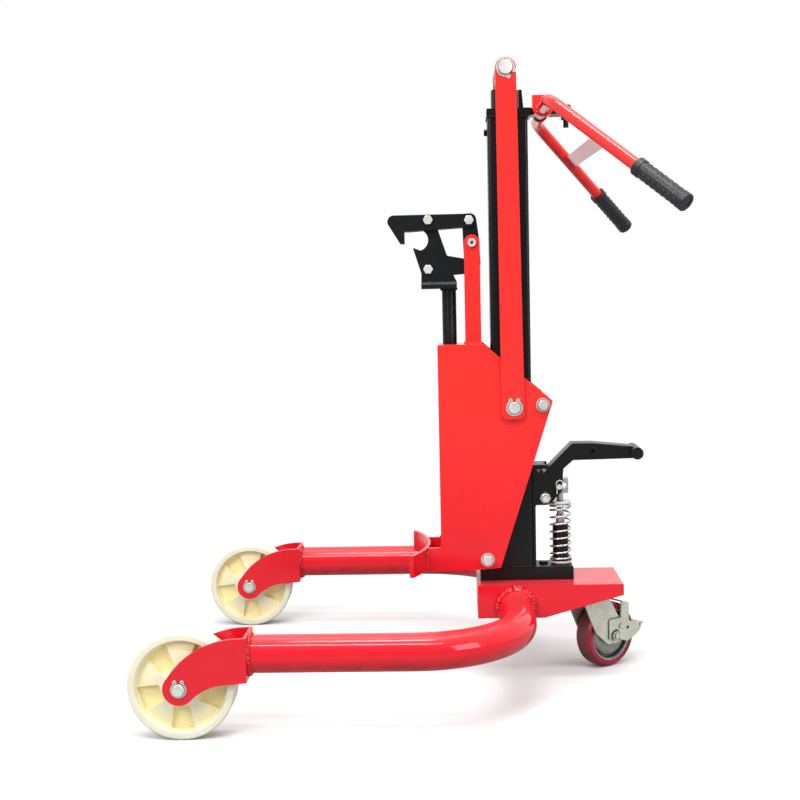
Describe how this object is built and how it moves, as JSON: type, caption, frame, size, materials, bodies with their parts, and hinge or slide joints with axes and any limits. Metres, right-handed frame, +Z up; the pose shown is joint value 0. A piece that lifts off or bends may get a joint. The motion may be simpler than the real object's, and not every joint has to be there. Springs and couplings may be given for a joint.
{
  "type": "drum lifter",
  "caption": "Foot-pumped hydraulic drum lifter: bent-tube legs on two nylon wheels and a braked castor, mast with sliding carriage, beak gripper, curved saddle, push handle.",
  "frame": {"origin": "on the ground under the middle of the footprint", "axes": "+Z up, -X forwards to where the drum stands, +X to the operator, +Y to the operator's right-hand side seen from behind the mast"},
  "size_m": [0.9398, 0.84, 1.1545],
  "materials": {
    "red_paint": "gloss powder coat",
    "black_paint": "satin powder coat",
    "black_oxide": "oiled black oxide",
    "zinc": "bright zinc plate",
    "machined_steel": "machined",
    "dark_steel": "drawn tube",
    "spring_steel": "oiled spring wire",
    "chrome_rod": "ground chrome",
    "nylon": "cast nylon",
    "castor_tread": "cast polyurethane, satin",
    "castor_core": "die cast",
    "grip_rubber": "moulded, matt"
  },
  "bodies": {
    "frame": {"base_channel": "red_paint", "leg_left": "red_paint", "leg_right": "red_paint", "fork_left": "red_paint", "fork_right": "red_paint", "front_axles": "zinc", "axle_rings": "zinc", "mast_tube": "black_paint", "head_bracket": "black_paint", "bracket_bolts": "black_oxide", "cylinder_tube": "dark_steel", "cylinder_gland": "black_paint", "pump_block": "black_paint", "pump_barrel": "black_paint", "spring_seat": "zinc", "return_spring": "spring_steel", "pedal_bracket": "black_paint", "pedal_bolts": "zinc", "handle_boss": "red_paint", "handle_left": "red_paint", "handle_right": "red_paint", "handle_brace": "red_paint", "grip_left": "grip_rubber", "grip_right": "grip_rubber", "castor_plate": "zinc", "castor_bolts": "zinc"},
    "front_wheel_left": {"wheel_left": "nylon", "bearings_left": "machined_steel"},
    "front_wheel_right": {"wheel_right": "nylon", "bearings_right": "machined_steel"},
    "lift": {"piston_rod": "chrome_rod", "crosshead": "black_paint", "strap_pins": "zinc", "strap_left": "red_paint", "strap_right": "red_paint", "strap_rings": "zinc", "carriage_frame": "red_paint", "drum_saddle": "red_paint", "roller_bolts": "zinc", "struts": "red_paint", "strut_pin": "zinc"},
    "roller_upper": {"upper_roller": "machined_steel"},
    "roller_lower": {"lower_roller": "machined_steel"},
    "gripper": {"gripper_post": "black_oxide", "gripper_collar": "black_paint", "gripper_jaw": "black_paint", "gripper_bolts": "zinc"},
    "beak": {"gripper_beak": "black_paint"},
    "link": {"gripper_links": "black_paint", "link_bolt": "zinc"},
    "pedal": {"pedal_lever": "black_paint", "plunger_pin": "zinc"},
    "plunger": {"pump_plunger": "machined_steel", "spring_cap": "zinc"},
    "castor_swivel": {"castor_fork": "zinc", "castor_axle": "zinc"},
    "castor_wheel": {"castor_tyre": "castor_tread", "castor_hub": "castor_core"},
    "brake": {"brake_lever": "zinc"}
  },
  "joints": [
    {"name": "wheel_left_spin", "type": "hinge", "parent": "frame", "child": "front_wheel_left", "pos_m": [-0.3805, -0.374, 0.09], "axis": [0, 1, 0], "continuous": true},
    {"name": "wheel_right_spin", "type": "hinge", "parent": "frame", "child": "front_wheel_right", "pos_m": [-0.3805, 0.374, 0.09], "axis": [0, 1, 0], "continuous": true},
    {"name": "castor_swivel_spin", "type": "hinge", "parent": "frame", "child": "castor_swivel", "pos_m": [0.3405, 0, 0.147], "axis": [0, 0, 1], "continuous": true},
    {"name": "castor_wheel_spin", "type": "hinge", "parent": "castor_swivel", "child": "castor_wheel", "pos_m": [0.36459, 0.01951, 0.0625], "axis": [-0.6293, 0.7771, 0], "continuous": true},
    {"name": "brake_hinge", "type": "hinge", "parent": "castor_swivel", "child": "brake", "pos_m": [0.37547, 0.02832, 0.079], "axis": [-0.6293, 0.7771, 0], "range_deg": [0, 5]},
    {"name": "lift_slide", "type": "slide", "parent": "frame", "child": "lift", "axis": [0, 0, 1], "range_m": [0, 0.5]},
    {"name": "upper_roller_spin", "type": "hinge", "parent": "lift", "child": "roller_upper", "pos_m": [0.2448, 0, 0.5166], "axis": [0, 1, 0], "continuous": true},
    {"name": "lower_roller_spin", "type": "hinge", "parent": "lift", "child": "roller_lower", "pos_m": [0.1373, 0, 0.2253], "axis": [0, 1, 0], "continuous": true},
    {"name": "post_slide", "type": "slide", "parent": "lift", "child": "gripper", "axis": [0, 0, 1], "range_m": [0, 0.012]},
    {"name": "beak_hinge", "type": "hinge", "parent": "gripper", "child": "beak", "pos_m": [0.0363, 0, 0.8663], "axis": [0, 1, 0], "range_deg": [0, 9.2]},
    {"name": "link_hinge", "type": "hinge", "parent": "lift", "child": "link", "pos_m": [0.1181, 0, 0.8223], "axis": [0, 1, 0], "range_deg": [-1.8, 0]},
    {"name": "pedal_hinge", "type": "hinge", "parent": "frame", "child": "pedal", "pos_m": [0.249, 0, 0.337], "axis": [0, 1, 0], "range_deg": [0, 30], "stiffness_Nm_per_rad": 15, "springref_deg": -11.46},
    {"name": "plunger_slide", "type": "slide", "parent": "frame", "child": "plunger", "axis": [0, 0, 1], "range_m": [-0.0165, 0], "deforming": ["return_spring"]}
  ],
  "couplings": [
    {"joint": "upper_roller_spin", "follows": "lift_slide", "rad_per_m": -52.356},
    {"joint": "lower_roller_spin", "follows": "lift_slide", "rad_per_m": 76.923},
    {"joint": "beak_hinge", "follows": "post_slide", "rad_per_m": 13.225},
    {"joint": "link_hinge", "follows": "post_slide", "rad_per_m": -2.52},
    {"joint": "plunger_slide", "follows": "pedal_hinge", "m_per_rad": -0.0309}
  ]
}
